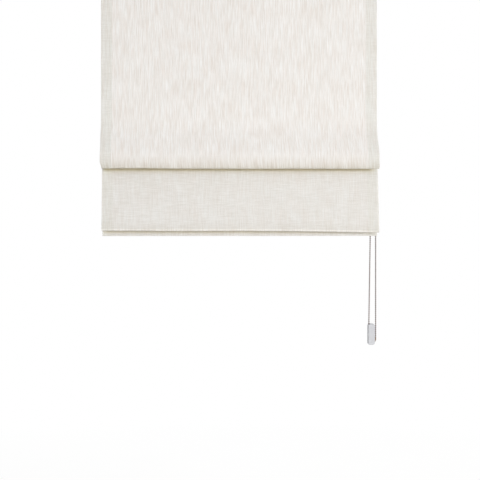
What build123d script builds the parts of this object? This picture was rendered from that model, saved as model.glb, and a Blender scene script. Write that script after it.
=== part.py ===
from build123d import *
import os
from math import asin, atan2, cos, degrees, hypot, pi, sin, sqrt

# Flat roman blind, half raised, worked by an endless bead chain. Sizes are in millimetres.
# The origin is the middle of the face that is screwed up to the window head.
# +X is to the right and -Y is towards the room for a person who looks at the blind; +Z is up.

# Cloth and its folds: the upper crest's drop from the mounting face, and how the folds hang from there
CLOTH_WIDTH = 812
CLOTH_THICKNESS = 1.2
SIDE_HEM = 30
UPPER_CREST_DROP = 590
CREST_STEP = 16
BELLY_RISE = 85
BELLY_SAG = 2
FRONT_FOLD_DEPTH = 39.4
LOWER_FOLD_DEPTH = 220
HEM_DEPTH = 218.4
BELLY_REACH = 41
LOWER_FOLD_REACH = 20
FOLD_WIDTH = 8
CREST_WIDTH = 5
LAYER_GAP = 0.3
BELLY_START_RADIUS = 120
BELLY_FULL_RADIUS = 80
FOLD_RADIUS = 3.9
CREST_RADIUS = 2.2

# Rods, sleeves, rings and the bar in the hem
ROD_RADIUS = 2
SLEEVE_RADIUS = 3
SLEEVE_BORE = 2.15
SLEEVE_SHORT = 2
TUBE_SIDES = 10
ROD_SHORT = 6
TOP_ROD_DROP = 264
RING_RADIUS = 6.35
RING_WALL = 1.6
RING_THICKNESS = 1.6
RING_SIDES = 8
LOCK_RADIUS = 2.4
LOCK_HEIGHT = 9
BAR_WIDTH = 22
BAR_THICKNESS = 3
BAR_SHORT = 6
BAR_LIFT = 1.2
POCKET_GAP = 0.2
POCKET_TUCK = 4
SEAT = 0.05

# Headrail with the latch slot along its top, open below between two lips
RAIL_DEPTH = 46
RAIL_HEIGHT = 38
RAIL_WALL = 1.5
RAIL_LIP = 6
SLOT_OPENING = 14
SLOT_WIDTH = 23
SLOT_DEPTH = 4
CAP_FLANGE = 2
CAP_PLUG = 8
PLUG_GAP = 0.2
TAPE_THICKNESS = 1.2
TAPE_HEIGHT = 25

# Mounting brackets and their turning latches
BRACKET_SETBACK = 106
BRACKET_LENGTH = 40
BRACKET_DEPTH = 42
PLATE_THICKNESS = 1.5
SCREW_SPACING = 22
SCREW_OFFSET = 12
SCREW_HOLE_RADIUS = 2.5
LATCH_NECK = 9
LATCH_PIN_RADIUS = 3
LATCH_CAM_LENGTH = 21
LATCH_CAM_WIDTH = 12
LATCH_CAM_CORNER = 3
LEVER_THICKNESS = 1.6
LEVER_WIDTH = 9
LEVER_REACH = 33
LEVER_CORNER = 2
RUN_GAP = 0.3

# Drive: shaft, spools, clutch and chain wheel
SHAFT_Y = 9
SHAFT_DROP = 20
SHAFT_SIZE = 6
SHAFT_BORE = 6.3
JOURNAL_RADIUS = 6
BUSH_LENGTH = 9
SPOOL_SETBACK = 136
SPOOL_LENGTH = 30
DRUM_RADIUS = 8
SPOOL_FLANGE_RADIUS = 11.8
SPOOL_FLANGE = 1.5
CRADLE_WALL = 2.5
CRADLE_FLOOR = 2
CHEEK_RISE = 9
EYELET_RADIUS = 3.2
EYELET_BORE = 1.3
EYELET_DROP = 3
CLUTCH_WALL = 5
CLUTCH_COVER = 2
WHEEL_WIDTH = 8
WHEEL_RIM = 1.2
HUB_RADIUS = 7
HUB_LENGTH = 12

# Lift cords
CORD_RADIUS = 0.7
CORD_SIDES = 4
CORD_BEND_RISE = 4
CORD_BEND_RADIUS = 6
CORD_WRAP = 140

# Bead chain, its two wheels and its connector
BEAD_PITCH = 6
BEAD_RADIUS = 2.25
LINK_RADIUS = 0.7
BEAD_SIDES = 4
BEAD_GAP = 0.35
WHEEL_POCKETS = 12
GUIDE_POCKETS = 11
GUIDE_SIDES = 22
CONNECTOR_RADIUS = 2.7
CONNECTOR_SIDES = 8
CONNECTOR_SHARE = 0.8
LEVEL_SHARE = 1e-6

# Chain tensioner
GUIDE_BELOW = 14
GUIDE_INSET = 8.65
GUIDE_WIDTH = 8
GUIDE_RIM = 0.6
GROOVE_MOUTH = 7.4
POST_RADIUS = 2
POST_BITE = 2.5
COVER_INSET = 11.55
COVER_WIDTH = 20.5
COVER_HEIGHT = 62.5
COVER_DROP = 1118
COVER_THICKNESS = 5
COVER_CORNER = 6
COVER_BEVEL = 1.8
BASE_THICKNESS = 3
BASE_CORNER = 4
SPACER_WIDTH = 12
SPACER_TOP_HEIGHT = 9
SPACER_BOTTOM_HEIGHT = 3.5
BASE_SCREW_SPACING = 34
BASE_SCREW_RADIUS = 1.8
BASE_SCREW_INSET = 3.5
BASE_SCREW_DROP = 3

# Places worked out from the sizes above
rail_top = -(PLATE_THICKNESS + LEVER_THICKNESS + RUN_GAP + RUN_GAP)
rail_bottom = rail_top - RAIL_HEIGHT
rail_middle = rail_top - RAIL_HEIGHT / 2
slot_top = rail_top - RAIL_WALL
slot_floor = slot_top - SLOT_DEPTH
rail_ceiling = slot_floor - RAIL_WALL
rail_floor = rail_bottom + RAIL_WALL
inner_depth = RAIL_DEPTH - 2 * RAIL_WALL
rail_front = -RAIL_DEPTH / 2
shaft_z = rail_top - SHAFT_DROP

chain_x = CLOTH_WIDTH / 2
wheel_radius = WHEEL_POCKETS * BEAD_PITCH / (2 * pi)
guide_radius = GUIDE_POCKETS * BEAD_PITCH / (2 * pi)
wheel_left = chain_x - WHEEL_WIDTH / 2
wheel_right = chain_x + WHEEL_WIDTH / 2
clutch_left = wheel_left - RUN_GAP - CLUTCH_WALL
cover_left = wheel_right + RUN_GAP
rail_left = CAP_FLANGE - CLOTH_WIDTH / 2
rail_length = clutch_left - rail_left

upper_crest_z = -UPPER_CREST_DROP
lower_crest_z = upper_crest_z - CREST_STEP
belly_start_z = upper_crest_z + BELLY_RISE
belly_full_z = upper_crest_z - BELLY_SAG
front_fold_z = upper_crest_z - FRONT_FOLD_DEPTH
lower_fold_z = upper_crest_z - LOWER_FOLD_DEPTH
hem_z = lower_crest_z - HEM_DEPTH
half = CLOTH_THICKNESS / 2
face_y = rail_front - 2 * TAPE_THICKNESS - half
belly_y = face_y - BELLY_REACH
lower_fold_y = face_y - LOWER_FOLD_REACH
upper_crest_back = face_y + CREST_WIDTH
lower_crest_front = upper_crest_back + CLOTH_THICKNESS + LAYER_GAP
hem_y = lower_crest_front + CREST_WIDTH
pocket_width = BAR_THICKNESS + 2 * POCKET_GAP + CLOTH_THICKNESS
pocket_y = hem_y + pocket_width
pocket_top = hem_z + BAR_WIDTH + BAR_LIFT + CLOTH_THICKNESS
pocket_radius = pocket_width / 2 - POCKET_GAP / 2
sewn_width = CLOTH_WIDTH - 2 * SIDE_HEM - SLEEVE_SHORT
rod_length = sewn_width - ROD_SHORT
bar_length = CLOTH_WIDTH - BAR_SHORT - BAR_SHORT

# Sleeve centres as (y, z): one on the flat face, one on top of each crest
sleeve_off = half + SEAT + SLEEVE_RADIUS
sleeve_spots = {
    "top": (face_y + sleeve_off, -TOP_ROD_DROP),
    "middle": (face_y + CREST_WIDTH / 2, upper_crest_z + sleeve_off),
    "bottom": (lower_crest_front + CREST_WIDTH / 2, lower_crest_z + sleeve_off),
}
ring_off = SLEEVE_RADIUS + SEAT + RING_RADIUS
ring_reach = RING_RADIUS - RING_WALL
spool_x = CLOTH_WIDTH / 2 - SPOOL_SETBACK
spool_xs = {"left": -spool_x, "middle": 0, "right": spool_x}
bracket_x = CLOTH_WIDTH / 2 - BRACKET_SETBACK
cord_y = (
    sleeve_spots["middle"][0] + ring_off + ring_reach + sleeve_spots["bottom"][0] + ring_off - ring_reach
) / 2

guide_x = chain_x - GUIDE_INSET
guide_z = -COVER_DROP - GUIDE_BELOW
cover_x = chain_x - COVER_INSET
cover_back = SHAFT_Y - GUIDE_WIDTH / 2 - RUN_GAP
base_front = SHAFT_Y + GUIDE_WIDTH / 2 + RUN_GAP
base_back = base_front + BASE_THICKNESS
cover_bottom = -COVER_DROP - COVER_HEIGHT / 2
cover_top = COVER_HEIGHT / 2 - COVER_DROP
base_screw_x = cover_x - BASE_SCREW_INSET
base_screw_z = -COVER_DROP - BASE_SCREW_DROP

os.makedirs("parts", exist_ok=True)


def keep(piece, name):
    piece.part.label = name
    export_step(piece.part, "parts/" + name + ".step")


def across(x):
    # Sketch plane square to the rail: local x is +Y and local y is +Z
    return Plane(origin=(x, 0, 0), x_dir=(0, 1, 0), z_dir=(1, 0, 0))


def about_shaft(x):
    # The same plane with its origin on the drive shaft
    return Plane(origin=(x, SHAFT_Y, shaft_z), x_dir=(0, 1, 0), z_dir=(1, 0, 0))


def facing(y):
    # Upright plane that looks into the room: local x is +X, local y is +Z, normal -Y
    return Plane(origin=(0, y, 0), x_dir=(1, 0, 0), z_dir=(0, -1, 0))


# Headrail
with BuildPart() as headrail:
    with BuildSketch(across(rail_left)):
        with Locations((0, rail_middle)):
            Rectangle(RAIL_DEPTH, RAIL_HEIGHT)
        with Locations((0, rail_top)):
            Rectangle(SLOT_OPENING, 2 * RAIL_WALL, mode=Mode.SUBTRACT)
        with Locations((0, (slot_top + slot_floor) / 2)):
            Rectangle(SLOT_WIDTH, SLOT_DEPTH, mode=Mode.SUBTRACT)
        with Locations((0, (rail_ceiling + rail_floor) / 2)):
            Rectangle(inner_depth, rail_ceiling - rail_floor, mode=Mode.SUBTRACT)
        with Locations((0, rail_bottom)):
            Rectangle(inner_depth - 2 * RAIL_LIP, 2 * RAIL_WALL, mode=Mode.SUBTRACT)
    extrude(amount=rail_length)
keep(headrail, "headrail")

# Left end cap with a plug and a bearing for the shaft bush
with BuildPart() as end_cap:
    with BuildSketch(across(rail_left)):
        with Locations((0, rail_middle)):
            Rectangle(RAIL_DEPTH, RAIL_HEIGHT)
    extrude(amount=-CAP_FLANGE)
    with BuildSketch(across(rail_left)):
        with Locations((0, (rail_ceiling + rail_floor) / 2)):
            Rectangle(inner_depth - 2 * PLUG_GAP, rail_ceiling - rail_floor - 2 * PLUG_GAP)
    extrude(amount=CAP_PLUG)
    with BuildSketch(about_shaft(rail_left)):
        RegularPolygon(JOURNAL_RADIUS + RUN_GAP, TUBE_SIDES, major_radius=False)
    extrude(amount=CAP_PLUG, mode=Mode.SUBTRACT)
keep(end_cap, "end_cap")


def make_bracket(x, hand):
    # Spring-steel plate, folded down at the front and at its outer end onto the rail
    screw_x = x + hand * SCREW_OFFSET
    with BuildPart() as bracket:
        with BuildSketch(Plane.XY):
            with Locations((x, 0)):
                Rectangle(BRACKET_LENGTH, BRACKET_DEPTH)
            with Locations((screw_x, SCREW_SPACING / 2), (screw_x, -SCREW_SPACING / 2)):
                Circle(SCREW_HOLE_RADIUS, mode=Mode.SUBTRACT)
            with Locations((x, 0)):
                RegularPolygon(LATCH_PIN_RADIUS + RUN_GAP, TUBE_SIDES, major_radius=False, mode=Mode.SUBTRACT)
        extrude(amount=-PLATE_THICKNESS)
        with BuildSketch(Plane.XY.offset(-PLATE_THICKNESS)):
            with Locations((x, (PLATE_THICKNESS - BRACKET_DEPTH) / 2)):
                Rectangle(BRACKET_LENGTH, PLATE_THICKNESS)
            with Locations((x + hand * (BRACKET_LENGTH - PLATE_THICKNESS) / 2, 0)):
                Rectangle(PLATE_THICKNESS, BRACKET_DEPTH)
        extrude(amount=rail_top + PLATE_THICKNESS)
    return bracket


def make_latch(x):
    # Lever above the rail, neck through its slot, cam locked below the slot's lips
    with BuildPart() as latch:
        with BuildSketch(Plane.XY.offset(slot_top - RUN_GAP)):
            with Locations((x, 0)):
                cam = Rectangle(LATCH_CAM_WIDTH, LATCH_CAM_LENGTH)
            chamfer(cam.vertices(), LATCH_CAM_CORNER)
        extrude(amount=RUN_GAP + RUN_GAP - SLOT_DEPTH)
        with BuildSketch(Plane.XY.offset(rail_top + RUN_GAP)):
            with Locations((x, 0)):
                Rectangle(LATCH_NECK, LATCH_NECK)
        extrude(amount=-RAIL_WALL - 2 * RUN_GAP)
        with BuildSketch(Plane.XY.offset(rail_top + RUN_GAP)):
            with Locations((x, (LEVER_REACH - LEVER_WIDTH / 2) / 2)):
                lever = Rectangle(LEVER_WIDTH, LEVER_REACH + LEVER_WIDTH / 2)
            chamfer(lever.vertices(), LEVER_CORNER)
        extrude(amount=LEVER_THICKNESS)
        with BuildSketch(Plane.XY.offset(rail_top + RUN_GAP + LEVER_THICKNESS)):
            with Locations((x, 0)):
                Circle(LATCH_PIN_RADIUS)
        extrude(amount=PLATE_THICKNESS)
    return latch


for side, hand in {"left": -1, "right": 1}.items():
    keep(make_bracket(hand * bracket_x, hand), "mounting_bracket_" + side)
    keep(make_latch(hand * bracket_x), "bracket_latch_" + side)

# Hook tape on the rail and loop tape on the cloth
with BuildPart() as hook_tape:
    with BuildSketch(facing(rail_front)):
        with Locations((0, rail_middle)):
            Rectangle(sewn_width, TAPE_HEIGHT)
    extrude(amount=TAPE_THICKNESS)
keep(hook_tape, "hook_tape")

with BuildPart() as loop_tape:
    with BuildSketch(facing(rail_front - TAPE_THICKNESS)):
        with Locations((0, rail_middle)):
            Rectangle(sewn_width, TAPE_HEIGHT)
    extrude(amount=TAPE_THICKNESS)
keep(loop_tape, "loop_tape")

# Square drive shaft with the bush that carries its left end
with BuildPart() as drive_shaft:
    with BuildSketch(about_shaft(rail_left + RUN_GAP)):
        Rectangle(SHAFT_SIZE, SHAFT_SIZE)
    extrude(amount=wheel_left - rail_left)
keep(drive_shaft, "drive_shaft")

with BuildPart() as shaft_bush:
    with BuildSketch(about_shaft(rail_left + RUN_GAP)):
        RegularPolygon(JOURNAL_RADIUS, TUBE_SIDES)
        Rectangle(SHAFT_BORE, SHAFT_BORE, mode=Mode.SUBTRACT)
    extrude(amount=BUSH_LENGTH)
keep(shaft_bush, "shaft_bush")


def make_spool(x):
    # Flanged drum with a journal at each end and a square bore
    start = x - SPOOL_LENGTH / 2
    journal = RUN_GAP + CRADLE_WALL
    with BuildPart() as spool:
        with BuildSketch(about_shaft(start - journal)):
            RegularPolygon(JOURNAL_RADIUS, TUBE_SIDES)
        extrude(amount=SPOOL_LENGTH + 2 * journal)
        with BuildSketch(about_shaft(start)):
            RegularPolygon(DRUM_RADIUS, TUBE_SIDES)
        extrude(amount=SPOOL_LENGTH)
        with BuildSketch(about_shaft(start), about_shaft(start + SPOOL_LENGTH - SPOOL_FLANGE)):
            RegularPolygon(SPOOL_FLANGE_RADIUS, TUBE_SIDES)
        extrude(amount=SPOOL_FLANGE)
        with BuildSketch(about_shaft(start - journal)):
            Rectangle(SHAFT_BORE, SHAFT_BORE)
        extrude(amount=SPOOL_LENGTH + 2 * journal, mode=Mode.SUBTRACT)
    return spool


def make_cradle(x):
    # Floor on the rail's lips, two open cheeks for the journals and an eyelet for the cord
    inner = SPOOL_LENGTH / 2 + RUN_GAP
    cheek_top = shaft_z + CHEEK_RISE
    cheek_height = cheek_top - rail_floor
    with BuildPart() as cradle:
        with BuildSketch(Plane.XY.offset(rail_floor)):
            with Locations((x, 0)):
                Rectangle(2 * inner + 2 * CRADLE_WALL, inner_depth - 2 * PLUG_GAP)
        extrude(amount=CRADLE_FLOOR)
        with BuildSketch(across(x - inner - CRADLE_WALL), across(x + inner)):
            with Locations((SHAFT_Y, cheek_top - cheek_height / 2)):
                Rectangle(2 * CHEEK_RISE, cheek_height)
        extrude(amount=CRADLE_WALL)
        with BuildSketch(about_shaft(x - inner - CRADLE_WALL)):
            RegularPolygon(JOURNAL_RADIUS + RUN_GAP, TUBE_SIDES, major_radius=False)
            with Locations((0, CHEEK_RISE)):
                Rectangle(2 * JOURNAL_RADIUS + 2 * RUN_GAP, 2 * CHEEK_RISE)
        extrude(amount=2 * inner + 2 * CRADLE_WALL, mode=Mode.SUBTRACT)
        with BuildSketch(Plane.XY.offset(rail_floor)):
            with Locations((x, cord_y)):
                RegularPolygon(EYELET_RADIUS, TUBE_SIDES)
        extrude(amount=-RAIL_WALL - EYELET_DROP)
        with BuildSketch(Plane.XY.offset(rail_floor + CRADLE_FLOOR)):
            with Locations((x, cord_y)):
                RegularPolygon(EYELET_BORE, TUBE_SIDES)
        extrude(amount=-CRADLE_FLOOR - RAIL_WALL - EYELET_DROP, mode=Mode.SUBTRACT)
    return cradle


def make_cord(x):
    # Wound over the drum, down to the eyelet, then straight through the rings to its lock
    bend_z = rail_floor + CRADLE_FLOOR + CORD_BEND_RISE
    wind = DRUM_RADIUS + RUN_GAP + CORD_RADIUS
    run_y = SHAFT_Y - cord_y
    run_z = shaft_z - bend_z
    reach = hypot(run_y, run_z)
    slope = atan2(run_z, run_y) + asin(wind / reach)
    tangent = sqrt(reach**2 - wind**2)
    off_drum = (cord_y + tangent * cos(slope), bend_z + tangent * sin(slope))
    start_angle = degrees(atan2(off_drum[1] - shaft_z, off_drum[0] - SHAFT_Y))
    cord_end = sleeve_spots["bottom"][1] - RING_THICKNESS / 2 - LOCK_HEIGHT
    with BuildPart() as cord:
        with BuildLine(across(x)) as route:
            FilletPolyline((cord_y, cord_end), (cord_y, bend_z), off_drum, radius=CORD_BEND_RADIUS)
            CenterArc((SHAFT_Y, shaft_z), wind, start_angle, -CORD_WRAP)
        with BuildSketch(Plane.XY.offset(cord_end)):
            with Locations((x, cord_y)):
                RegularPolygon(CORD_RADIUS, CORD_SIDES)
        sweep(path=route.wire())
    return cord


for side, x in spool_xs.items():
    keep(make_spool(x), "cord_spool_" + side)
    keep(make_cradle(x), "spool_cradle_" + side)
    keep(make_cord(x), "lift_cord_" + side)

# Clutch housing at the rail's right end: block, plug, wheel cavity open below, hub bearing
cavity = wheel_radius + BEAD_RADIUS + 2 * BEAD_GAP
with BuildPart() as clutch_housing:
    with BuildSketch(across(clutch_left)):
        with Locations((0, rail_middle)):
            Rectangle(RAIL_DEPTH, RAIL_HEIGHT)
    extrude(amount=cover_left - clutch_left)
    with BuildSketch(across(clutch_left)):
        with Locations((0, (rail_ceiling + rail_floor) / 2)):
            Rectangle(inner_depth - 2 * PLUG_GAP, rail_ceiling - rail_floor - 2 * PLUG_GAP)
    extrude(amount=-CAP_PLUG)
    with BuildSketch(about_shaft(cover_left)):
        RegularPolygon(cavity, GUIDE_SIDES, major_radius=False)
        with Locations((0, -cavity)):
            Rectangle(2 * cavity, 2 * cavity)
    extrude(amount=-WHEEL_WIDTH - 2 * RUN_GAP, mode=Mode.SUBTRACT)
    with BuildSketch(about_shaft(cover_left)):
        Circle(HUB_RADIUS + RUN_GAP)
    extrude(amount=clutch_left - CAP_PLUG - cover_left, mode=Mode.SUBTRACT)
keep(clutch_housing, "clutch_housing")

with BuildPart() as clutch_cover:
    with BuildSketch(across(cover_left)):
        with Locations((0, rail_middle)):
            Rectangle(RAIL_DEPTH, RAIL_HEIGHT)
    extrude(amount=CLUTCH_COVER)
keep(clutch_cover, "clutch_cover")

# Chain wheel: one flat, pocket and link groove for every bead, then the hub
wheel_flat = wheel_radius + WHEEL_RIM
pocket_reach = BEAD_RADIUS + BEAD_GAP
link_floor = wheel_radius - LINK_RADIUS - 2 * BEAD_GAP
link_width = 2 * LINK_RADIUS + 4 * BEAD_GAP
first_corner = 180 + 180 / WHEEL_POCKETS
pocket_planes = []
for pocket in range(WHEEL_POCKETS):
    out = Vector(0, -1, 0).rotate(Axis.X, pocket * 360 / WHEEL_POCKETS)
    floor = Vector(chain_x, SHAFT_Y, shaft_z) + out * (wheel_radius - pocket_reach)
    pocket_planes.append(Plane(origin=floor, x_dir=(1, 0, 0), z_dir=out))
with BuildPart() as chain_wheel:
    with BuildSketch(about_shaft(wheel_left)):
        RegularPolygon(wheel_flat, WHEEL_POCKETS, major_radius=False, rotation=first_corner)
    extrude(amount=WHEEL_WIDTH)
    with BuildSketch(about_shaft(chain_x)):
        RegularPolygon(wheel_flat, WHEEL_POCKETS, major_radius=False, rotation=first_corner)
        RegularPolygon(link_floor, WHEEL_POCKETS, major_radius=False, rotation=first_corner, mode=Mode.SUBTRACT)
    extrude(amount=link_width / 2, both=True, mode=Mode.SUBTRACT)
    with BuildSketch(*pocket_planes):
        Rectangle(2 * pocket_reach, 2 * pocket_reach)
    extrude(amount=2 * pocket_reach, mode=Mode.SUBTRACT)
    with BuildSketch(about_shaft(wheel_left)):
        RegularPolygon(HUB_RADIUS, TUBE_SIDES)
    extrude(amount=-HUB_LENGTH)
    with BuildSketch(about_shaft(wheel_left - HUB_LENGTH)):
        Rectangle(SHAFT_BORE, SHAFT_BORE)
    extrude(amount=HUB_LENGTH + RUN_GAP, mode=Mode.SUBTRACT)
keep(chain_wheel, "chain_wheel")

# Cloth: face, belly, front fold, upper crest, lower fold, lower crest, hem pocket
fold_points = [
    (face_y, rail_top),
    (face_y, belly_start_z),
    (belly_y, belly_full_z),
    (belly_y, front_fold_z),
    (belly_y + FOLD_WIDTH, front_fold_z),
    (face_y, upper_crest_z),
    (upper_crest_back, upper_crest_z),
    (lower_fold_y, lower_fold_z),
    (lower_fold_y + FOLD_WIDTH, lower_fold_z),
    (lower_crest_front, lower_crest_z),
    (hem_y, lower_crest_z),
]
fold_radii = [
    BELLY_START_RADIUS,
    BELLY_FULL_RADIUS,
    FOLD_RADIUS,
    FOLD_RADIUS,
    CREST_RADIUS,
    CREST_RADIUS,
    FOLD_RADIUS,
    FOLD_RADIUS,
    CREST_RADIUS,
    CREST_RADIUS,
]
pocket_points = [
    (hem_y, hem_z),
    (pocket_y, hem_z),
    (pocket_y, pocket_top),
    (hem_y + CLOTH_THICKNESS, pocket_top + POCKET_TUCK),
]
pocket_radii = [pocket_radius, pocket_radius, CLOTH_THICKNESS]
with BuildPart() as shade_fabric:
    with BuildSketch(across(0)):
        with BuildLine():
            FilletPolyline(*fold_points, *pocket_points, radius=fold_radii + pocket_radii)
        trace(line_width=CLOTH_THICKNESS)
    extrude(amount=CLOTH_WIDTH / 2, both=True)
keep(shade_fabric, "shade_fabric")

# Rods in their sewn sleeves
for level, (y, z) in sleeve_spots.items():
    with BuildPart() as rod_sleeve:
        with BuildSketch(across(0)):
            with Locations((y, z)):
                RegularPolygon(SLEEVE_RADIUS, TUBE_SIDES)
                RegularPolygon(SLEEVE_BORE, TUBE_SIDES, mode=Mode.SUBTRACT)
        extrude(amount=sewn_width / 2, both=True)
    keep(rod_sleeve, "rod_sleeve_" + level)
    with BuildPart() as rod:
        with BuildSketch(across(0)):
            with Locations((y, z)):
                RegularPolygon(ROD_RADIUS, TUBE_SIDES)
        extrude(amount=rod_length / 2, both=True)
    keep(rod, "rod_" + level)

# Bar in the hem pocket
with BuildPart() as bottom_bar:
    with BuildSketch(across(0)):
        with Locations((hem_y + pocket_width / 2, hem_z + half + BAR_LIFT + BAR_WIDTH / 2)):
            Rectangle(BAR_THICKNESS, BAR_WIDTH)
    extrude(amount=bar_length / 2, both=True)
keep(bottom_bar, "bottom_bar")

# Cord rings behind every sleeve, and the locks that hold the cord ends under the lowest rings
with BuildPart() as cord_rings:
    for y, z in sleeve_spots.values():
        with BuildSketch(Plane.XY.offset(z)):
            with Locations([(x, y + ring_off) for x in spool_xs.values()]):
                RegularPolygon(RING_RADIUS, RING_SIDES)
                RegularPolygon(ring_reach, RING_SIDES, mode=Mode.SUBTRACT)
        extrude(amount=RING_THICKNESS / 2, both=True)
keep(cord_rings, "cord_rings")

with BuildPart() as cord_locks:
    with BuildSketch(Plane.XY.offset(sleeve_spots["bottom"][1] - RING_THICKNESS / 2)):
        with Locations([(x, cord_y) for x in spool_xs.values()]):
            RegularPolygon(LOCK_RADIUS, RING_SIDES)
            RegularPolygon(CORD_RADIUS + SEAT, CORD_SIDES, mode=Mode.SUBTRACT)
    extrude(amount=-LOCK_HEIGHT)
keep(cord_locks, "cord_locks")

# Bead chain: down the room side, round the guide, up again and over the chain wheel
wheel_front = (chain_x, SHAFT_Y - wheel_radius, shaft_z)
wheel_top = (chain_x, SHAFT_Y, shaft_z + wheel_radius)
wheel_back = (chain_x, SHAFT_Y + wheel_radius, shaft_z)
guide_right = (guide_x + guide_radius, SHAFT_Y, guide_z)
guide_low = (guide_x, SHAFT_Y, guide_z - guide_radius)
guide_left = (guide_x - guide_radius, SHAFT_Y, guide_z)
with BuildLine() as loop:
    Line(wheel_front, guide_right)
    ThreePointArc(guide_right, guide_low, guide_left)
    Line(guide_left, wheel_back)
    ThreePointArc(wheel_back, wheel_top, wheel_front)
chain_wire = loop.wire()
bead_count = round(chain_wire.length / BEAD_PITCH)
connector_bead = round(bead_count * CONNECTOR_SHARE)


def along(half_pitches):
    # Plane square to the chain, that many half pitches on from the wheel's front
    place = half_pitches / (2 * bead_count) % 1
    way = chain_wire % place
    return Plane(origin=chain_wire @ place, x_dir=way.cross(Vector(1, 1, 0)), z_dir=way)


def corners(half_pitches):
    # Corners of the chain's section there: wide through a bead, narrow through a link
    radius = LINK_RADIUS if half_pitches % 2 else BEAD_RADIUS
    turns = [2 * pi * side / BEAD_SIDES for side in range(BEAD_SIDES)]
    return [along(half_pitches).from_local_coords((radius * cos(turn), radius * sin(turn), 0)) for turn in turns]


def facets(near, far):
    # Flat faces between two sections: one where all four corners lie in a plane, otherwise two
    flat = []
    for side in range(BEAD_SIDES):
        a, b, c, d = near[side - 1], near[side], far[side], far[side - 1]
        if abs((b - a).cross(c - a).dot(d - a)) < BEAD_RADIUS * LINK_RADIUS * LEVEL_SHARE:
            flat.append(Face(Wire.make_polygon((a, b, c, d))))
        else:
            flat.append(Face(Wire.make_polygon((a, b, c))))
            flat.append(Face(Wire.make_polygon((a, c, d))))
    return flat


first_link = 2 * connector_bead + 1
sections = [corners(first_link + step) for step in range(2 * bead_count - 1)]
chain_skin = [Face(Wire.make_polygon(sections[0])), Face(Wire.make_polygon(sections[-1]))]
for near, far in zip(sections, sections[1:]):
    chain_skin += facets(near, far)
with BuildPart() as bead_chain:
    add(Solid(Shell(chain_skin)))
keep(bead_chain, "bead_chain")

with BuildPart() as chain_connector:
    with BuildSketch(along(2 * connector_bead)):
        RegularPolygon(CONNECTOR_RADIUS, CONNECTOR_SIDES)
    extrude(amount=chain_wire.length / bead_count / 2, both=True)
keep(chain_connector, "chain_connector")

# Tensioner base: back plate with two screw holes, the wheel's post, a divider and a foot
with BuildPart() as tensioner_base:
    with BuildSketch(facing(base_back)):
        with Locations((cover_x, -COVER_DROP)):
            plate = Rectangle(COVER_WIDTH, COVER_HEIGHT)
        chamfer(plate.vertices(), BASE_CORNER)
    extrude(amount=BASE_THICKNESS)
    with BuildSketch(facing(base_front)):
        with Locations((guide_x, cover_top - SPACER_TOP_HEIGHT)):
            Rectangle(SPACER_WIDTH, SPACER_TOP_HEIGHT)
        with Locations((cover_x, cover_bottom + SPACER_BOTTOM_HEIGHT / 2)):
            Rectangle(SPACER_WIDTH - SPACER_BOTTOM_HEIGHT, SPACER_BOTTOM_HEIGHT)
    extrude(amount=base_front - cover_back)
    with BuildSketch(facing(base_back)):
        with Locations((base_screw_x, base_screw_z)):
            with GridLocations(0, BASE_SCREW_SPACING, 1, 2):
                Circle(BASE_SCREW_RADIUS)
    extrude(amount=BASE_THICKNESS, mode=Mode.SUBTRACT)
    with BuildSketch(facing(base_front)):
        with Locations((guide_x, guide_z)):
            Circle(POST_RADIUS)
    extrude(amount=base_front - cover_back + POST_BITE)
keep(tensioner_base, "tensioner_base")

# Tensioner cover: bevelled front plate with a blind hole for the post
with BuildPart() as tensioner_cover:
    with BuildSketch(facing(cover_back)):
        with Locations((cover_x, -COVER_DROP)):
            RectangleRounded(COVER_WIDTH, COVER_HEIGHT, COVER_CORNER)
    extrude(amount=COVER_THICKNESS)
    chamfer(tensioner_cover.faces().sort_by(Axis.Y)[0].edges(), COVER_BEVEL)
    with BuildSketch(facing(cover_back)):
        with Locations((guide_x, guide_z)):
            RegularPolygon(POST_RADIUS + SEAT, TUBE_SIDES, major_radius=False)
    extrude(amount=POST_BITE + SEAT, mode=Mode.SUBTRACT)
keep(tensioner_cover, "tensioner_cover")

# Tensioner wheel: grooved for the beads, turning on the post
groove_radius = guide_radius - BEAD_RADIUS - 4 * BEAD_GAP
rim_radius = guide_radius + GUIDE_RIM
groove_depth = (rim_radius - groove_radius) * cos(pi / GUIDE_SIDES)
with BuildPart() as tensioner_wheel:
    with BuildSketch(facing(SHAFT_Y)):
        with Locations((guide_x, guide_z)):
            RegularPolygon(rim_radius, GUIDE_SIDES)
    extrude(amount=GUIDE_WIDTH / 2)
    inner_face = tensioner_wheel.faces().sort_by(Axis.Y)[-1]
    chamfer(inner_face.edges(), groove_depth, GROOVE_MOUTH / 2, reference=inner_face)
    mirror(about=facing(SHAFT_Y))
    with BuildSketch(facing(SHAFT_Y)):
        with Locations((guide_x, guide_z)):
            RegularPolygon(POST_RADIUS + RUN_GAP, TUBE_SIDES, major_radius=False)
    extrude(amount=GUIDE_WIDTH / 2, both=True, mode=Mode.SUBTRACT)
keep(tensioner_wheel, "tensioner_wheel")
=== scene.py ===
from math import acos, asin, atan2, ceil, cos, hypot, pi, radians, sin, sqrt, tan

import bmesh
import bpy
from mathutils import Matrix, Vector, noise


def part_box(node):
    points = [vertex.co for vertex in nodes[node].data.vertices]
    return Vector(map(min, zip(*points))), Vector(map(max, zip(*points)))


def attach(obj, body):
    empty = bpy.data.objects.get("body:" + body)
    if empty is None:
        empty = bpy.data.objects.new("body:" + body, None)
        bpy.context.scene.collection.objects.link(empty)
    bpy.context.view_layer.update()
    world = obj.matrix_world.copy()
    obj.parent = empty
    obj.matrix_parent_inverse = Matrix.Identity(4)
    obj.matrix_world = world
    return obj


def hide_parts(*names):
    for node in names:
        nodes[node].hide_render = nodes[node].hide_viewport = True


# A half-raised roman blind of slubbed linen with its headrail, lift cords, bead chain and tensioner.
# Lengths are metres in the part's frame: +X right, -Y into the room, +Z up, origin on the window head.

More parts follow.
